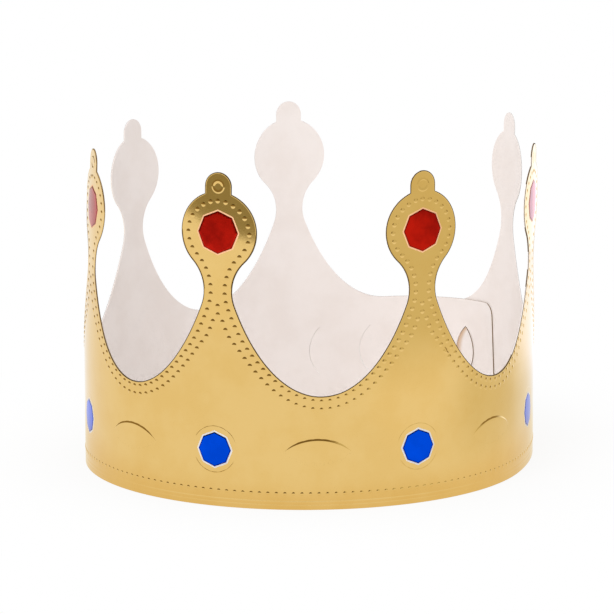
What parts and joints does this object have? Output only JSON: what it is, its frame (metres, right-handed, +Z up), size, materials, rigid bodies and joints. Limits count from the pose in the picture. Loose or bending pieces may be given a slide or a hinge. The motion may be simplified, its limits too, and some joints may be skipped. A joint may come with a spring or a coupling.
{
  "type": "paper crown",
  "caption": "Gilt card party crown: a band with round-headed points, foil octagon gems, pressed ornaments and an interlocking slit closure at the back.",
  "frame": {"origin": "middle of the crown's plan at the height of its lower rim", "axes": "+Z up through the points, -Y towards the front, +X to the wearer's left as seen from the front at right"},
  "size_m": [0.1824, 0.1994, 0.1302],
  "materials": {
    "gilt_card": "gold-coloured foil face, white inside",
    "red_foil": "glossy metallic red",
    "blue_foil": "glossy metallic blue"
  },
  "bodies": {
    "root": {"crown_band": "gilt_card", "red_gem_1": "red_foil", "red_gem_2": "red_foil", "red_gem_3": "red_foil", "red_gem_4": "red_foil", "red_gem_5": "red_foil", "red_gem_6": "red_foil", "red_gem_7": "red_foil", "blue_gem_1": "blue_foil", "blue_gem_2": "blue_foil", "blue_gem_3": "blue_foil", "blue_gem_4": "blue_foil", "blue_gem_5": "blue_foil", "blue_gem_6": "blue_foil", "blue_gem_7": "blue_foil"}
  },
  "joints": []
}
